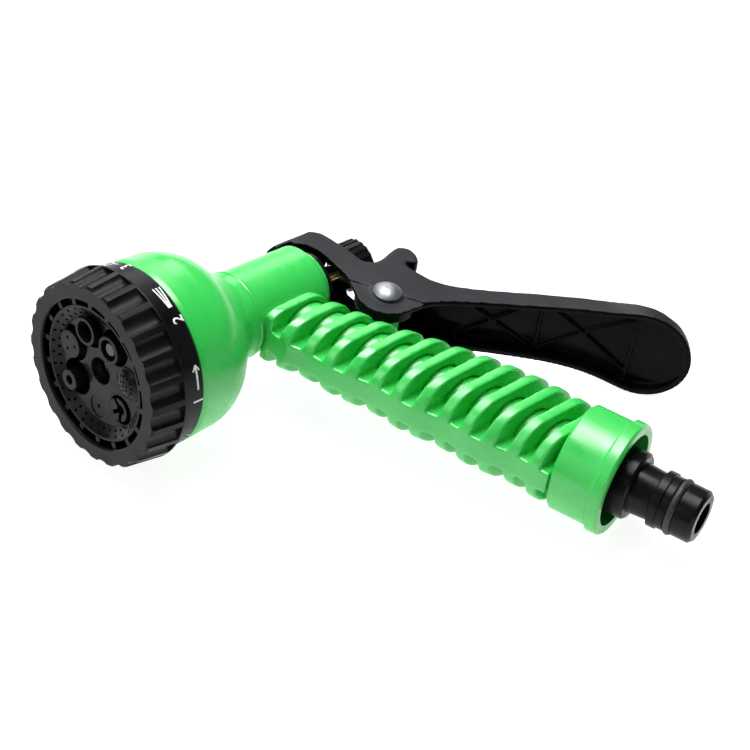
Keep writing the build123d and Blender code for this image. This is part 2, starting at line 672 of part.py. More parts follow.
def trigger_plan(inset):
    """Width of the trigger seen square to its arm, straight to the spoon's rounded end."""
    with BuildLine() as outline:
        edge = Spline(
            (2, LEVER_HALF - inset), (23.7, 9.6 - inset), (41.6, 11.0 - inset), (53.5, 13.0 - inset),
            (SPOON_CENTRE, SPOON_R - inset), tangents=[(1, 0), (1, 0)],
        )
        Line((-60, LEVER_HALF - inset), edge @ 0)
        ThreePointArc(edge @ 1, (SPOON_CENTRE + SPOON_R - inset, 0), (SPOON_CENTRE, -SPOON_R + inset))
        mirror(edge, about=Plane.XZ)
        Line((2, -LEVER_HALF + inset), (-60, -LEVER_HALF + inset))
        Line((-60, -LEVER_HALF + inset), (-60, LEVER_HALF - inset))
    make_face(outline.edges())


with BuildPart(mode=Mode.PRIVATE) as hollow:
    with BuildSketch(Plane.XZ):
        with BuildLine():
            roof, curve, horn, arm = trigger_back(LEVER_WALL)
            Polyline(arm @ 1, (-60, -112), (10, -60), (4, 9.2), roof @ 0)
        make_face()
    extrude(amount=20, both=True)
    with BuildSketch(ARM_PLANE):
        trigger_plan(LEVER_WALL)
    extrude(amount=90, both=True, mode=Mode.INTERSECT)

RIB_DEPTH = 3.0              # how deep the stiffening ribs stand, from the trigger's back
with BuildPart(mode=Mode.PRIVATE) as web_ribs:
    with BuildSketch(ARM_PLANE):
        for start in (4.0, 31.0):
            for turn_sign in (1, -1):
                with Locations(Location((start + 13.0, 0, 0), turn_sign * 33)):
                    Rectangle(34, 0.9)
        with Locations((58.5, 0), (31.0, 0)):
            Rectangle(1.0, 34)
    extrude(amount=60, both=True)
    with BuildSketch(ARM_PLANE):
        trigger_plan(LEVER_WALL / 2)
    extrude(amount=90, both=True, mode=Mode.INTERSECT)
    with BuildSketch(Plane.XZ):
        with BuildLine():
            upper = Spline(*inset_points(back_points[10:], LEVER_WALL / 2))
            lower = Spline(*inset_points(back_points[10:], RIB_DEPTH))
            Line(upper @ 0, lower @ 0)
            Line(upper @ 1, lower @ 1)
        make_face()
    extrude(amount=20, both=True, mode=Mode.INTERSECT)

HOOD_FRONT = -12.4
HOOD_R = 14.0
HOOD_SIDE = (HOOD_R**2 - LEVER_HALF**2) ** 0.5
HOOD_FOOT = 9.4              # height of the hood's lower edges above the barrel's axis
ROOF_FRONT = -18.4


def hood_section(x, side, crown):
    """Cross-section of the roof where the hood fades into it, by the height of its sides and crown."""
    with BuildSketch(across_barrel(x)) as outline:
        with BuildLine():
            Polyline(
                (-LEVER_HALF, side), (-LEVER_HALF, HOOD_FOOT), (LEVER_HALF, HOOD_FOOT), (LEVER_HALF, side),
            )
            ThreePointArc((LEVER_HALF, side), (0, crown), (-LEVER_HALF, side))
        make_face()
    return outline.sketch


# the ears are set back from the side walls, below a crease that runs past the pivot
EAR_SETBACK = 0.5
with BuildPart(mode=Mode.PRIVATE) as ear_setback:
    with BuildSketch(Plane.XZ):
        with BuildLine():
            Polyline((-21.4, -12.6), (-33.4, -32.4), (-36.4, -34.4), (-36, -46), (-8, -46), (-8, -12.6), close=True)
        make_face()
        with Locations(lug_end):
            Circle(RIVET_HEAD_R, mode=Mode.SUBTRACT)
    extrude(amount=20, both=True)
    with BuildSketch(Plane.XZ):
        with Locations(lug_end):
            Rectangle(60, 60)
    extrude(amount=LEVER_HALF - EAR_SETBACK, both=True, mode=Mode.SUBTRACT)

with BuildPart() as trigger_lever:
    with BuildSketch(Plane.XZ):
        with BuildLine():
            roof, curve, horn, arm = trigger_back()
            tip = Line(arm @ 1, (-92.0, -92.2))
            rim = Spline(
                tip @ 1, (-89.2, -87.4), (-84.5, -80.7), (-77.5, -70.7), (-70, -61), (-56.8, -48.9),
                (-44.0, -38.6), (-35.0, -33.6), (PIVOT_X, PIVOT_Z - EAR_R),
                tangents=[(0.5, 1), (1, 0.1)],
            )
            ear = ThreePointArc(
                rim @ 1,
                (PIVOT_X + EAR_R * cos(radians(-35)), PIVOT_Z + EAR_R * sin(radians(-35))),
                (PIVOT_X + EAR_R * cos(radians(22)), PIVOT_Z + EAR_R * sin(radians(22))),
            )
            Spline(ear @ 1, (-22.0, -10.0), (-22.6, -3.0), (-22.2, 4.0), (-18.4, 8.4), tangents=[(-0.5, 1), (1, 0.5)])
            Line((-18.4, 8.4), roof @ 0)
        make_face()
    extrude(amount=20, both=True)
    with BuildSketch(ARM_PLANE):
        trigger_plan(0)
    extrude(amount=90, both=True, mode=Mode.INTERSECT)
    add(hollow.part, mode=Mode.SUBTRACT)
    add(web_ribs.part)
    # hood that reaches over the barrel's rear end
    with BuildSketch(across_barrel(HOOD_FRONT)):
        Circle(HOOD_R)
        Circle(BARREL_R + 0.3, mode=Mode.SUBTRACT)
        with Locations((0, HOOD_FOOT + HOOD_R / 2)):
            Rectangle(2 * LEVER_HALF, HOOD_R, mode=Mode.INTERSECT)
    extrude(amount=ROOF_FRONT - HOOD_FRONT)
    loft([hood_section(ROOF_FRONT, HOOD_SIDE, HOOD_R), hood_section(-26.6, 11.0, 11.6)])
    # room for the gland under the roof
    tube(GLAND_REAR - 1.0, BARREL_REAR, 9.6, 0, mode=Mode.SUBTRACT)
    # thick ears on the pivot
    with BuildSketch(PIVOT_PLANE):
        Circle(EAR_R)
    extrude(amount=LEVER_HALF - EAR_SETBACK, both=True)
    with BuildSketch(PIVOT_PLANE):
        Circle(EAR_R + 0.3)
    extrude(amount=LUG_HALF + 0.3, both=True, mode=Mode.SUBTRACT)
    with BuildSketch(PIVOT_PLANE):
        Circle(PIN_R)
    extrude(amount=20, both=True, mode=Mode.SUBTRACT)
    add(ear_setback.part, mode=Mode.SUBTRACT)
    # slot for the valve stem, wide at its foot
    with BuildSketch(across_barrel(-26.0)):
        with Locations((0, -2.6)):
            Rectangle(2 * STEM_R + 1.4, 15.0)
        with Locations((0, -7.4)):
            Rectangle(11.5, 5.2)
    extrude(amount=-8.0, mode=Mode.SUBTRACT)

with BuildPart() as pivot_rivet:
    with BuildSketch(Plane(origin=(PIVOT_X, 0, PIVOT_Z), x_dir=(1, 0, 0), z_dir=(0, 0, 1))):
        with BuildLine():
            Polyline(
                (RIVET_HEAD_R - 0.3, LEVER_HALF + 0.9), (RIVET_HEAD_R, LEVER_HALF + 0.6), (RIVET_HEAD_R, LEVER_HALF),
                (PIN_R, LEVER_HALF), (PIN_R, -LEVER_HALF - 0.9), (PIN_R - 0.5, -LEVER_HALF - 1.4),
                (0, -LEVER_HALF - 1.4), (0, LEVER_HALF + 2.3),
            )
            ThreePointArc(
                (0, LEVER_HALF + 2.3), (2.6, LEVER_HALF + 1.85), (RIVET_HEAD_R - 0.3, LEVER_HALF + 0.9),
            )
        make_face()
    revolve(axis=Axis((PIVOT_X, 0, PIVOT_Z), (0, 1, 0)))

with BuildPart() as rivet_cap:
    with BuildSketch(Plane(origin=(PIVOT_X, -LEVER_HALF, PIVOT_Z), x_dir=(1, 0, 0), z_dir=(0, -1, 0))):
        Circle(RIVET_HEAD_R)
        Circle(PIN_R, mode=Mode.SUBTRACT)
    extrude(amount=0.8)

# ---- lay the nozzle down and write the pieces -------------------------------------------------
PIECES = {
    "barrel_body": barrel_body,
    "bell_housing": bell_housing,
    "weld_bead": weld_bead,
    "grip_sleeve": grip_sleeve,
    "end_collar": end_collar,
    "hose_adapter": hose_adapter,
    "adapter_o_ring": adapter_o_ring,
    "inlet_washer": inlet_washer,
    "inlet_screen": inlet_screen,
    "valve_seat": valve_seat,
    "gland_nut": gland_nut,
    "stem_o_ring": stem_o_ring,
    "return_spring": return_spring,
    "outlet_hub": outlet_hub,
    "dial_seal": dial_seal,
    "detent_ball": detent_ball,
    "detent_spring": detent_spring,
    "dial_washer": dial_washer,
    "dial_screw": dial_screw,
    "dial_ring": dial_ring,
    "spray_face": spray_face,
    "index_plate": index_plate,
    "shower_insert": shower_insert,
    "fan_insert": fan_insert,
    "cone_pin": cone_pin,
    "trigger_lever": trigger_lever,
    "pivot_rivet": pivot_rivet,
    "rivet_cap": rivet_cap,
    "valve_stem": valve_stem,
    "valve_poppet": valve_poppet,
    "poppet_seal": poppet_seal,
    "stem_nut": stem_nut,
    "flow_knob": flow_knob,
    "knob_insert": knob_insert,
}
lean_x = sin(radians(REST_LEAN_BARREL)) / cos(radians(REST_LEAN_BARREL))
lean_z = sin(radians(REST_LEAN_HANDLE)) / cos(radians(REST_LEAN_HANDLE))
LYING = Plane(
    origin=(0, 0, 0),
    x_dir=Vector(-1, lean_x, 0).normalized(),
    z_dir=Vector(lean_x, 1, lean_z).normalized(),
)
laid = {name: LYING.to_local_coords(piece.part) for name, piece in PIECES.items()}
boxes = [piece.bounding_box() for piece in laid.values()]
low = [min(box.min.to_tuple()[i] for box in boxes) for i in range(3)]
high = [max(box.max.to_tuple()[i] for box in boxes) for i in range(3)]
TO_BASE = Location((-(low[0] + high[0]) / 2, -(low[1] + high[1]) / 2, -low[2]))
os.makedirs("parts", exist_ok=True)
for name, piece in laid.items():
    placed = piece.moved(TO_BASE)
    placed.label = name
    export_step(placed, f"parts/{name}.step")
for name, point in (
    ("crossing of the axes", (0, 0, 0)),
    ("pivot", (PIVOT_X, 0, PIVOT_Z)),
    ("barrel direction", (1, 0, 0)),
):
    spot = LYING.to_local_coords(Vector(point)) + TO_BASE.position
    print(name, [round(v / 1000, 6) for v in spot.to_tuple()])
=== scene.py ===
"""Looks of the hose spray nozzle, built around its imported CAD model.

Everything is in metres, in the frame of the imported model. The joints give a second, handier frame:
forward along the dial's axis, left towards the rivet head, and up as the nozzle is held.
"""

import json
from math import cos, pi, radians, sin

import bmesh
import bpy
from mathutils import Matrix, Vector
from mathutils.kdtree import KDTree

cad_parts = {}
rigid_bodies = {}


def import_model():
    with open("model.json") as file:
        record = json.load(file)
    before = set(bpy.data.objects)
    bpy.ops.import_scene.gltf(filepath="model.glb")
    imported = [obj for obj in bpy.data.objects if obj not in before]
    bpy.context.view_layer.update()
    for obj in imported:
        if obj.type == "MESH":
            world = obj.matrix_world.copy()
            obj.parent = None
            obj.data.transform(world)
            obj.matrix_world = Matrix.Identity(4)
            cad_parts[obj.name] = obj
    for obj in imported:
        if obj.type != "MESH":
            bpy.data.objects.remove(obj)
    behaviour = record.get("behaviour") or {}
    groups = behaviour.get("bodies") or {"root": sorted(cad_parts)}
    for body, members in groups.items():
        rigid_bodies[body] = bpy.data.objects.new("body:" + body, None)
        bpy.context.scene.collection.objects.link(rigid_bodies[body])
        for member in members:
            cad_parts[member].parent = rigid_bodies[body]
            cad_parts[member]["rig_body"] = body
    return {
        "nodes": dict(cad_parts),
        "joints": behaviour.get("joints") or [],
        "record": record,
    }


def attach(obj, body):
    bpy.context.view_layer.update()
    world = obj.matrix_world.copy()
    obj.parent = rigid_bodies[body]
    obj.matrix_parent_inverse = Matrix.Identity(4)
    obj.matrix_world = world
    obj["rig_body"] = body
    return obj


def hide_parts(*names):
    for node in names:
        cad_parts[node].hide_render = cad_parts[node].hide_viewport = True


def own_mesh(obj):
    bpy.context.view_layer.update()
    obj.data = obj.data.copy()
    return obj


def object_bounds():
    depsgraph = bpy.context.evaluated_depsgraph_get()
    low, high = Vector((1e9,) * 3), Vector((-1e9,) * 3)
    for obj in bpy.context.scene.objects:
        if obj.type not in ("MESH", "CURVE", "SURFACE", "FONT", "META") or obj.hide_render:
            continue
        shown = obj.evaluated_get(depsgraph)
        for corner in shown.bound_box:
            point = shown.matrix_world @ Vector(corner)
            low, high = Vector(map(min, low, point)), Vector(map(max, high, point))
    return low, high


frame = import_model()
cad_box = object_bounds()
nodes = frame["nodes"]
joints = {joint["name"]: joint for joint in frame["joints"]}

MM = 0.001
DIAL_JOINT_AHEAD = 50 * MM   # how far the dial joint's point is ahead of the nozzle's own origin

forward = Vector(joints["dial_turn"]["axis"]).normalized()
left = -Vector(joints["trigger_pull"]["axis"]).normalized()
upward = forward.cross(left)
own_origin = Vector(joints["dial_turn"]["pos_m"]) - DIAL_JOINT_AHEAD * forward
OWN_TO_ROW = Matrix.Translation(own_origin) @ Matrix((forward, left, upward)).transposed().to_4x4()


def placed(x, y, z):
    """A point given in the nozzle's own frame, in millimetres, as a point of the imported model."""
    return OWN_TO_ROW @ (Vector((x, y, z)) * MM)


# ---- materials --------------------------------------------------------------------------------
class Shader:
    """A procedural material, made by small steps that each add one visible quality."""

    def __init__(self, name, roughness, metallic=0.0):
        self.material = bpy.data.materials.new(name)
        self.material.use_nodes = True
        tree = self.material.node_tree
        self.nodes = tree.nodes
        self.links = tree.links
        self.surface = self.nodes["Principled BSDF"]
        self.surface.inputs["Metallic"].default_value = metallic
        self.surface.inputs["Roughness"].default_value = roughness
        self.place = self.nodes.new("ShaderNodeTexCoord").outputs["Object"]
        self.height = None

    def noise(self, scale, detail=3.0, rough=0.5, stretch=None):
        """Noise with about that many features per metre."""
        texture = self.nodes.new("ShaderNodeTexNoise")
        texture.inputs["Scale"].default_value = scale
        texture.inputs["Detail"].default_value = detail
        texture.inputs["Roughness"].default_value = rough
        place = self.place
        if stretch:
            mapping = self.nodes.new("ShaderNodeMapping")
            mapping.inputs["Scale"].default_value = stretch
            self.links.new(place, mapping.inputs["Vector"])
            place = mapping.outputs["Vector"]
        self.links.new(place, texture.inputs["Vector"])
        return texture.outputs["Fac"]

    def ramp(self, factor, start, end, low, high):
        """Maps factor from start..end to low..high, numbers or colours."""
        if isinstance(low, (int, float)):
            node = self.nodes.new("ShaderNodeMapRange")
            spans = {"From Min": start, "From Max": end, "To Min": low, "To Max": high}
            for socket, value in spans.items():
                node.inputs[socket].default_value = value
            self.links.new(factor, node.inputs["Value"])
            return node.outputs["Result"]
        node = self.nodes.new("ShaderNodeValToRGB")
        for element, position, colour in zip(node.color_ramp.elements, (start, end), (low, high)):
            element.position = position
            element.color = (*colour, 1.0)
        self.links.new(factor, node.inputs["Fac"])
        return node.outputs["Color"]

    def mix(self, factor, first, second):
        """Colour between first and second; each is a socket or a colour."""
        node = self.nodes.new("ShaderNodeMix")
        node.data_type = "RGBA"
        self.links.new(factor, node.inputs["Factor"])
        for socket, value in ((node.inputs["A"], first), (node.inputs["B"], second)):
            if isinstance(value, tuple):
                socket.default_value = (*value, 1.0)
            else:
                self.links.new(value, socket)
        return node.outputs["Result"]

    def times(self, first, second, operation="MULTIPLY"):
        node = self.nodes.new("ShaderNodeMath")
        node.operation = operation
        for socket, value in zip(node.inputs, (first, second)):
            if isinstance(value, (int, float)):
                socket.default_value = value
            else:
                self.links.new(value, socket)
        return node.outputs["Value"]

    def edges(self, low=0.52, high=0.62):
        """1 on outer edges and corners, 0 on flat and hollow places."""
        geometry = self.nodes.new("ShaderNodeNewGeometry")
        return self.ramp(geometry.outputs["Pointiness"], low, high, 0.0, 1.0)

    def emboss(self, height, distance, strength=1.0):
        """Adds a relief to the surface: height is a socket, distance its depth in metres."""
        bump = self.nodes.new("ShaderNodeBump")
        bump.inputs["Distance"].default_value = distance
        bump.inputs["Strength"].default_value = strength
        self.links.new(height, bump.inputs["Height"])
        if self.height is not None:
            self.links.new(self.height, bump.inputs["Normal"])
        self.height = bump.outputs["Normal"]

    def soften(self, radius):
        """Rounds the look of sharp edges by this radius, as a mould's own small radii do."""
        bevel = self.nodes.new("ShaderNodeBevel")
        bevel.samples = 4
        bevel.inputs["Radius"].default_value = radius
        self.height = bevel.outputs["Normal"]

    def set(self, socket, value):
        if isinstance(value, (int, float)):
            self.surface.inputs[socket].default_value = value
        elif isinstance(value, tuple):
            target = self.surface.inputs[socket]
            target.default_value = value if target.type == "VECTOR" else (*value, 1.0)
        else:
            self.links.new(value, self.surface.inputs[socket])

    def done(self):
        if self.height is not None:
            self.links.new(self.height, self.surface.inputs["Normal"])
        return self.material


MOULD_RADIUS = 0.25 * MM
SINK_DEPTH = 0.012 * MM      # slow waves left as the plastic shrinks
STREAK_MEAN = 0.30           # what the streaks add to the roughness on average


def moulded_plastic(name, base, roughness, grain, flow=0.10, wear=0.35):
    """Injection-moulded plastic: faint flow marks, a fine grain, soft edges and rubbed high spots.

    The grain is a depth; flow and wear are how far the flow marks and the rubbed edges change the colour.
    """
    shader = Shader(name, roughness)
    shader.soften(MOULD_RADIUS)
    cloud = shader.noise(55, 4, 0.6)
    streaks = shader.noise(160, 2, 0.5, stretch=(1.0, 0.25, 1.0))
    dark = tuple(channel * (1 - flow) for channel in base)
    light = tuple(min(channel * (1 + flow) + 0.004, 1.0) for channel in base)
    colour = shader.mix(shader.ramp(cloud, 0.3, 0.7, 0.0, 1.0), dark, light)
    rubbed = tuple(min(channel * 1.25 + 0.03, 1.0) for channel in base)
    colour = shader.mix(shader.times(shader.edges(), wear), colour, rubbed)
    shader.set("Base Color", colour)
    scuffs = shader.times(streaks, 0.6)
    uneven = shader.times(shader.ramp(cloud, 0.25, 0.75, -0.05, 0.06), scuffs, "ADD")
    shader.set("Roughness", shader.times(uneven, roughness - STREAK_MEAN, "ADD"))
    shader.emboss(shader.noise(420, 2, 0.5), SINK_DEPTH, 0.25)
    shader.emboss(shader.noise(5200, 2, 0.6), grain, 0.6)
    return shader


def green_plastic():
    """The body, grip, bell and collar: bright, glossy and slightly translucent."""
    green = (0.033, 0.570, 0.085)
    shader = moulded_plastic("green_moulded_plastic", green, 0.30, 0.002 * MM, flow=0.03, wear=0.0)
    shader.set("Specular IOR Level", 0.85)
    shader.set("Subsurface Weight", 0.10)
    shader.set("Subsurface Radius", (0.2, 1.0, 0.25))
    shader.set("Subsurface Scale", 1.6 * MM)
    return shader.done()


def charcoal_plastic():
    """The dial and its face, the knob and the hose plug, and the hub and gland nut inside."""
    charcoal = (0.0034, 0.0034, 0.0048)
    shader = moulded_plastic("charcoal_satin_plastic", charcoal, 0.29, 0.006 * MM, wear=0.08)
    shader.set("Specular IOR Level", 0.14)
    return shader.done()


def trigger_black_plastic():
    """The trigger's outside: a satin, finely eroded texture."""
    black = (0.0165, 0.0165, 0.0205)
    shader = moulded_plastic("black_trigger_plastic", black, 0.52, 0.012 * MM, wear=0.2)
    shader.set("Specular IOR Level", 0.18)
    return shader.done()


def polished_black_painted_shade():
    """The inside of the trigger's channel: polished as its mould, and made much darker than the outside as
    painted shade in the channel.
    """
    # painted shade: a base far darker than the trigger's outside and a low specular level make the channel
    # near black; only the lower roughness is the polish
    black = (0.0008, 0.0010, 0.0010)
    shader = moulded_plastic("polished_black_painted_shade", black, 0.20, 0.002 * MM, wear=0.0)
    shader.set("Specular IOR Level", 0.05)
    return shader.done()


def acetal_plastic():
    """The valve's poppet, the index plate and the cone pin."""
    return moulded_plastic("dark_acetal", (0.045, 0.045, 0.052), 0.38, 0.006 * MM).done()


def metal(name, base, roughness, stretch, tarnish):
    """Turned or drawn metal: fine lines along one direction, patches of tarnish, brighter edges."""
    shader = Shader(name, roughness, metallic=1.0)
    shader.soften(0.12 * MM)
    patches = shader.noise(260, 4, 0.65)
    colour = shader.mix(shader.ramp(patches, 0.35, 0.75, 0.0, 1.0), base, tarnish)
    bright = tuple(min(channel * 1.1 + 0.05, 1.0) for channel in base)
    colour = shader.mix(shader.edges(), colour, bright)
    shader.set("Base Color", colour)
    lines = shader.noise(2600, 3, 0.6, stretch=stretch)
    shader.set("Roughness", shader.ramp(lines, 0.3, 0.7, roughness - 0.06, roughness + 0.10))
    shader.emboss(lines, 0.004 * MM, 0.4)
    shader.emboss(patches, 0.008 * MM, 0.2)
    return shader.done()


def rubber():
    """Black rubber with a little pale dust on it."""
    shader = Shader("black_nitrile_rubber", 0.55)
    shader.soften(0.1 * MM)
    dust = shader.noise(900, 4, 0.7)
    dusty = shader.ramp(dust, 0.45, 0.8, 0.0, 1.0)
    shader.set("Base Color", shader.mix(dusty, (0.012, 0.012, 0.012), (0.05, 0.05, 0.048)))
    shader.set("Roughness", shader.ramp(dust, 0.3, 0.7, 0.42, 0.62))
    shader.emboss(shader.noise(4200, 2, 0.5), 0.006 * MM, 0.6)
    return shader.done()


def white_print():
    """White ink, thin in places."""
    shader = Shader("white_pad_print", 0.5)
    worn = shader.noise(1500, 4, 0.7)
    thin = shader.ramp(worn, 0.55, 0.78, 0.0, 1.0)
    shader.set("Base Color", shader.mix(thin, (0.82, 0.83, 0.84), (0.45, 0.45, 0.47)))
    shader.set("Roughness", shader.ramp(worn, 0.3, 0.7, 0.42, 0.6))
    shader.emboss(worn, 0.01 * MM, 0.4)
    return shader.done()


GREEN = green_plastic()
CHARCOAL = charcoal_plastic()
TRIGGER_BLACK = trigger_black_plastic()
# the channel's material: polish plus painted shade
POLISHED_PAINTED_SHADE = polished_black_painted_shade()
ACETAL = acetal_plastic()
ZINC = metal("bright_rivet_metal", (0.34, 0.35, 0.39), 0.48, (1.0, 1.0, 1.0), (0.26, 0.27, 0.30))
BRASS = metal("turned_brass", (0.80, 0.60, 0.24), 0.26, (0.15, 1.0, 1.0), (0.55, 0.38, 0.14))
STAINLESS = metal("drawn_stainless", (0.66, 0.66, 0.68), 0.24, (1.0, 1.0, 0.15), (0.46, 0.46, 0.48))
NITRILE = rubber()
PRINT = white_print()

FINISHES = {
    "green_abs": GREEN,
    "charcoal_abs": CHARCOAL,
    "gloss_black_abs": TRIGGER_BLACK,
    "acetal": ACETAL,
    "rivet_metal": ZINC,
    "brass": BRASS,
    "stainless": STAINLESS,
    "nitrile": NITRILE,
}
for part in frame["record"]["subparts"]:
    mesh = nodes[part["node"]].data
    mesh.materials.clear()
    mesh.materials.append(FINISHES[part["material_slot"]])


# ---- moulded pieces: rounded copies of the CAD shells ------------------------------------------
def new_piece(name, mesh, body):
    """A piece of this script's own, riding on a body of the model."""
    piece = bpy.data.objects.new(name, mesh)
    bpy.context.scene.collection.objects.link(piece)
    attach(piece, body)
    return piece


SHARP = radians(50)
WELD = 0.002 * MM            # corners nearer than this are one corner
EDGE_SPACING = 0.5 * MM


def sharp_outer_edges(mesh, keep):
    """Points all along the convex sharp edges whose two faces pass keep()."""
    work = bmesh.new()
    work.from_mesh(mesh)
    bmesh.ops.remove_doubles(work, verts=work.verts, dist=WELD)
    points = []
    for edge in work.edges:
        if len(edge.link_faces) != 2 or not edge.is_convex or edge.calc_face_angle(0.0) < SHARP:
            continue
        if keep(*(face.normal for face in edge.link_faces)):
            start, end = (corner.co for corner in edge.verts)
            count = max(int(edge.calc_length() / EDGE_SPACING), 1)
            points += [start.lerp(end, step / count) for step in range(count + 1)]
    work.free()
    return points


def rounded_copy(node, name, voxel, passes, more=None, reach=0.0, more_passes=0):
    """A copy of a CAD shell with its edges melted round. The edges through the points in more are
    melted further, out to reach from them."""
    source = nodes[node]
    piece = bpy.data.objects.new(name, source.data.copy())
    bpy.context.scene.collection.objects.link(piece)
    remesh = piece.modifiers.new("one_skin", "REMESH")
    remesh.mode = "VOXEL"
    remesh.voxel_size = voxel
    bpy.context.view_layer.update()
    graph = bpy.context.evaluated_depsgraph_get()
    piece.data = bpy.data.meshes.new_from_object(piece.evaluated_get(graph))
    piece.modifiers.clear()
    melt = piece.modifiers.new("melt", "SMOOTH")
    melt.factor = 0.5
    melt.iterations = passes
    if more:
        tree = KDTree(len(more))
        for index, point in enumerate(more):
            tree.insert(point, index)
        tree.balance()
        group = piece.vertex_groups.new(name="outer_edges")
        for vertex in piece.data.vertices:
            distance = tree.find(vertex.co)[2]
            if distance < reach:
                share = 1 - distance / reach
                group.add([vertex.index], share * share * (3 - 2 * share), "REPLACE")
        further = piece.modifiers.new("melt_outer_edges", "SMOOTH")
        further.factor = 0.5
        further.iterations = more_passes
        further.vertex_group = group.name
    bpy.context.view_layer.update()
    graph = bpy.context.evaluated_depsgraph_get()
    finished = bpy.data.meshes.new_from_object(piece.evaluated_get(graph))
    bpy.data.objects.remove(piece)
    finished.name = name
    finished.shade_smooth()
    body = source["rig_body"]
    slot = next(p["material_slot"] for p in frame["record"]["subparts"] if p["node"] == node)
    moulded = new_piece(name, finished, body)
    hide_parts(node)
    moulded.data.materials.clear()
    moulded.data.materials.append(FINISHES[slot])
    return moulded


def on_the_back(first, second):
    """Whether an edge is one of the trigger's outer ones, from a side wall to its back or roof."""
    sideways = max(abs(first.dot(left)), abs(second.dot(left)))
    back = first if abs(first.dot(left)) < abs(second.dot(left)) else second
    return sideways > 0.9 and back.dot(upward) - back.dot(forward) > 0.25


CHANNEL_FACING = 0.3         # how far a face looks into the channel before it is polished and given painted shade


def polish_and_shade_channel(piece):
    """Gives the inner faces of the trigger's channel, and the faces looking down and forward, their polish
    and a painted shade that darkens them, and leaves the outside satin.
    """
    piece.data.materials.append(POLISHED_PAINTED_SHADE)
    back = (upward - forward).normalized()
    for face in piece.data.polygons:
        side = (face.center - own_origin).dot(left)
        inward = -face.normal.dot(left) * (1 if side > 0 else -1)
        if inward > CHANNEL_FACING or face.normal.dot(back) < -CHANNEL_FACING:
            face.material_index = 1


rounded_copy("grip_sleeve", "moulded_grip_sleeve", voxel=0.30 * MM, passes=18)
trigger_edges = sharp_outer_edges(nodes["trigger_lever"].data, on_the_back)
trigger = rounded_copy(
    "trigger_lever", "moulded_trigger", voxel=0.32 * MM, passes=4,
    more=trigger_edges, reach=3.2 * MM, more_passes=60,
)
# the channel's inner and downward faces get the polish and the painted shade
polish_and_shade_channel(trigger)


def live_spring():
    """A copy of the valve's return spring on the body, with a mesh of its own; the poppet closes the real
    spring up as the stem slides back, but this copy keeps its shape.
    """
    source = nodes["return_spring"]
    spring = new_piece("live_return_spring", source.data.copy(), "body")
    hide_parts("return_spring")
    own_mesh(spring)


live_spring()


# ---- pattern marks printed on the dial's band ---------------------------------------------------
# Sizes here are millimetres, as placed() takes them.
BAND_R = 27.25
PRINT_DEPTH = 0.06
MARK_MIDDLE = 46.4           # along the barrel's axis
MARK_HEIGHT = 3.4
FIRST_MARK = -71.5           # degrees round the dial
MARK_COUNT = 7
MARK_STEP = 360 / MARK_COUNT
NUMERAL_AT = -5.6            # along the band, from the middle of the mark
PICTURE_AT = 2.0
CUT_STEP = 0.9               # the prints are cut this finely so that they bend with the band
CUTS_EACH_WAY = 10
DOT_CORNERS = 14
ARC_STEP = 12                # degrees
STROKE_STEP = 0.6
GOLDEN_ANGLE = 2.4           # radians
CAP_SHARE = 0.70             # height of a numeral, as a share of its font size


def ring_shape(work, x, y, outer, inner, start=0, sweep=360):
    """A flat ring or arc round (x, y)."""
    count = max(int(abs(sweep) / ARC_STEP), 3)
    rows = []
    for step in range(count + 1):
        angle = radians(start + sweep * step / count)
        rows.append([work.verts.new((x + r * cos(angle), y + r * sin(angle), 0)) for r in (inner, outer)])
    for before, after in zip(rows, rows[1:]):
        work.faces.new((before[0], before[1], after[1], after[0]))


def dot(work, x, y, radius):
    """A small printed dot."""
    turns = [2 * pi * corner / DOT_CORNERS for corner in range(DOT_CORNERS)]
    work.faces.new([work.verts.new((x + radius * cos(turn), y + radius * sin(turn), 0)) for turn in turns])


def stroke(work, start, end, width=0.42):
    """A straight printed line, cut into short lengths so that it can follow the band."""
    first, last = Vector((*start, 0)), Vector((*end, 0))
    along = (last - first).normalized()
    side = Vector((-along.y, along.x, 0)) * width / 2
    count = max(int((last - first).length / STROKE_STEP), 1)
    rows = []
    for step in range(count + 1):
        middle = first.lerp(last, step / count)
        rows.append([work.verts.new(middle - side), work.verts.new(middle + side)])
    for before, after in zip(rows, rows[1:]):
        work.faces.new((before[0], before[1], after[1], after[0]))


def jet_sign(work):
    stroke(work, (-4.0, 0), (3.2, 0), 0.6)
    stroke(work, (3.4, 0), (1.6, 1.1))
    stroke(work, (3.4, 0), (1.6, -1.1))


def three_jets_sign(work):
    for lift in (-1.1, 0, 1.1):
        stroke(work, (-3.6, lift * 0.4), (3.6, lift), 0.45)


def tube_sign(work):
    ring_shape(work, 0, 0, 1.7, 1.2)
    stroke(work, (2.4, 0), (4.4, 0))
    stroke(work, (-2.4, 0), (-4.4, 0))


def cone_sign(work):
    stroke(work, (-3.4, 0), (3.4, 1.5))
    stroke(work, (-3.4, 0), (3.4, -1.5))
    ring_shape(work, 3.4, 0, 1.7, 1.3, -90, 180)


def shower_sign(work):
    for column in range(5):
        for row in range(3):
            dot(work, -3.2 + 1.6 * column, -1.2 + 1.2 * row, 0.33)


def fan_sign(work):
    for angle in (-26, -13, 0, 13, 26):
        run, rise = 6.8 * cos(radians(angle)), 6.8 * sin(radians(angle)) * 0.55
        stroke(work, (-3.4, 0), (-3.4 + run, rise), 0.36)


def mist_sign(work):
    for index in range(13):
        turned = index * GOLDEN_ANGLE
        dot(work, 0.95 * index ** 0.5 * cos(turned) * 1.2, 0.43 * index ** 0.5 * sin(turned), 0.24)


SIGNS = [jet_sign, three_jets_sign, tube_sign, cone_sign, shower_sign, fan_sign, mist_sign]


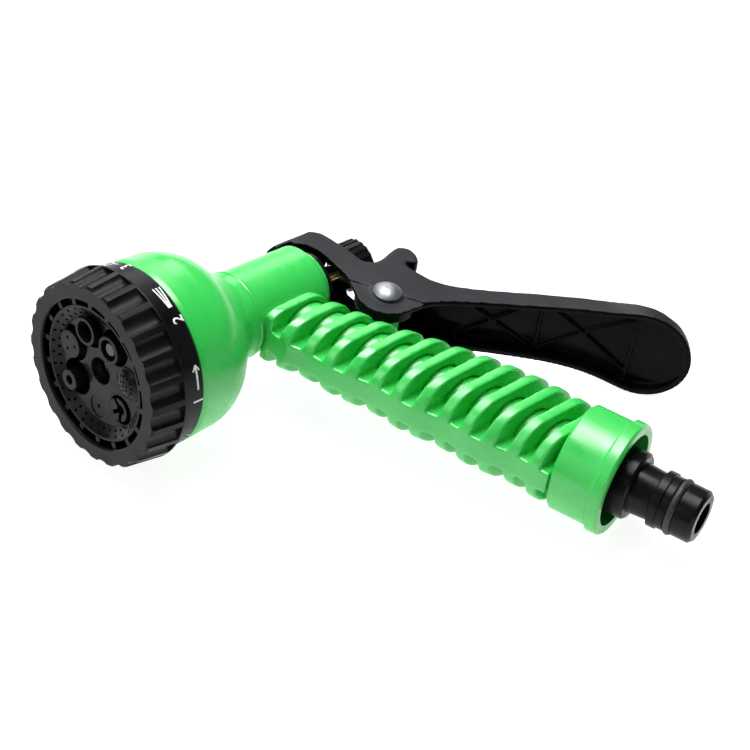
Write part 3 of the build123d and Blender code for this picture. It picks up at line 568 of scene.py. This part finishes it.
def numeral(work, text, x, height):
    """Adds a plain numeral's outline, cut fine enough to bend round the band."""
    curve = bpy.data.curves.new("numeral", "FONT")
    curve.body = text
    curve.size = height / CAP_SHARE
    curve.align_x = "CENTER"
    curve.offset = 0.012 * height
    curve.resolution_u = 3
    carrier = bpy.data.objects.new("numeral", curve)
    bpy.context.scene.collection.objects.link(carrier)
    bpy.context.view_layer.update()
    graph = bpy.context.evaluated_depsgraph_get()
    flat = bpy.data.meshes.new_from_object(carrier.evaluated_get(graph))
    flat.transform(Matrix.Translation((x, -height / 2, 0)))
    work.from_mesh(flat)
    bpy.data.objects.remove(carrier)


def band_mark(index):
    """One mark: a numeral and a small picture of its spray, wrapped round the band and given a skin."""
    work = bmesh.new()
    numeral(work, str(index + 1), NUMERAL_AT, MARK_HEIGHT)
    picture = bmesh.new()
    SIGNS[index](picture)
    picture_mesh = bpy.data.meshes.new("picture")
    picture.to_mesh(picture_mesh)
    picture.free()
    picture_mesh.transform(Matrix.Translation((PICTURE_AT, 0, 0)))
    work.from_mesh(picture_mesh)
    bmesh.ops.triangulate(work, faces=work.faces)
    for direction in ((1, 0, 0), (0, 1, 0)):
        for step in range(-CUTS_EACH_WAY, CUTS_EACH_WAY + 1):
            bmesh.ops.bisect_plane(
                work, geom=work.verts[:] + work.edges[:] + work.faces[:],
                plane_co=Vector(direction) * step * CUT_STEP, plane_no=direction,
            )
    bmesh.ops.solidify(work, geom=work.faces[:], thickness=PRINT_DEPTH)
    middle = FIRST_MARK + MARK_STEP * index
    for vertex in work.verts:
        run, rise, depth = vertex.co
        angle = radians(middle) + run / BAND_R
        radius = BAND_R + 0.5 * PRINT_DEPTH + depth
        vertex.co = placed(MARK_MIDDLE + rise, radius * cos(angle), radius * sin(angle))
    bmesh.ops.recalc_face_normals(work, faces=work.faces)
    mesh = bpy.data.meshes.new(f"band_mark_{index + 1}")
    work.to_mesh(mesh)
    work.free()
    mesh.materials.append(PRINT)
    return new_piece(mesh.name, mesh, "dial")


for index in range(MARK_COUNT):
    band_mark(index)


# ---- stage: pale floor, soft light and the camera -----------------------------------------------
middle = (cad_box[0] + cad_box[1]) / 2


def pale_floor():
    """A white floor, lit enough by itself to swallow most of the shadow."""
    half = 3.0
    mesh = bpy.data.meshes.new("floor")
    corners = [(-half, -half, 0), (half, -half, 0), (half, half, 0), (-half, half, 0)]
    mesh.from_pydata(corners, [], [(0, 1, 2, 3)])
    floor = bpy.data.objects.new("floor", mesh)
    bpy.context.scene.collection.objects.link(floor)
    shader = Shader("white_floor", 0.6)
    shader.set("Base Color", shader.mix(shader.noise(8, 3), (0.32, 0.32, 0.32), (0.34, 0.34, 0.34)))
    shader.set("Emission Color", (1.0, 1.0, 1.0))
    shader.set("Emission Strength", 0.92)
    mesh.materials.append(shader.done())


def softbox(name, place, size, power):
    """A square area light aimed at the middle of the nozzle."""
    light = bpy.data.lights.new(name, "AREA")
    light.shape = "RECTANGLE"
    light.size, light.size_y = size
    light.energy = power
    lamp = bpy.data.objects.new(name, light)
    bpy.context.scene.collection.objects.link(lamp)
    lamp.location = place
    lamp.rotation_euler = (middle - Vector(place)).to_track_quat("-Z", "Y").to_euler()


def camera():
    """A long lens, looking down on the nozzle's left side from in front of the dial."""
    azimuth, elevation, roll = radians(314.84), radians(40.74), radians(-5.25)
    aim = middle + Vector((3.1, 22.5, -18.0)) * MM
    distance = 0.934
    lens = bpy.data.cameras.new("camera")
    lens.lens = 154.94
    lens.sensor_width = 36.0
    eye = bpy.data.objects.new("camera", lens)
    bpy.context.scene.collection.objects.link(eye)
    look = Vector((-sin(azimuth) * cos(elevation), cos(azimuth) * cos(elevation), -sin(elevation)))
    level = look.to_track_quat("-Z", "Y").to_matrix()
    turned = level @ Matrix.Rotation(-roll, 3, "Z")
    eye.matrix_world = Matrix.Translation(aim - distance * look) @ turned.to_4x4()
    bpy.context.scene.camera = eye


def world(strength):
    """Even white light from all round."""
    sky = bpy.data.worlds.new("studio")
    sky.use_nodes = True
    background = sky.node_tree.nodes["Background"]
    background.inputs["Color"].default_value = (1.0, 1.0, 1.0, 1.0)
    background.inputs["Strength"].default_value = strength
    bpy.context.scene.world = sky


pale_floor()
world(0.06)
softbox("overhead", (0.1, 0.35, 1.2), (0.8, 0.8), 24)
softbox("left_of_camera", (-1.3, 0.3, 0.9), (0.6, 0.8), 5)
softbox("behind", (0.7, 1.2, 0.8), (1.2, 0.8), 8)
camera()
bpy.context.scene.view_settings.view_transform = "Standard"
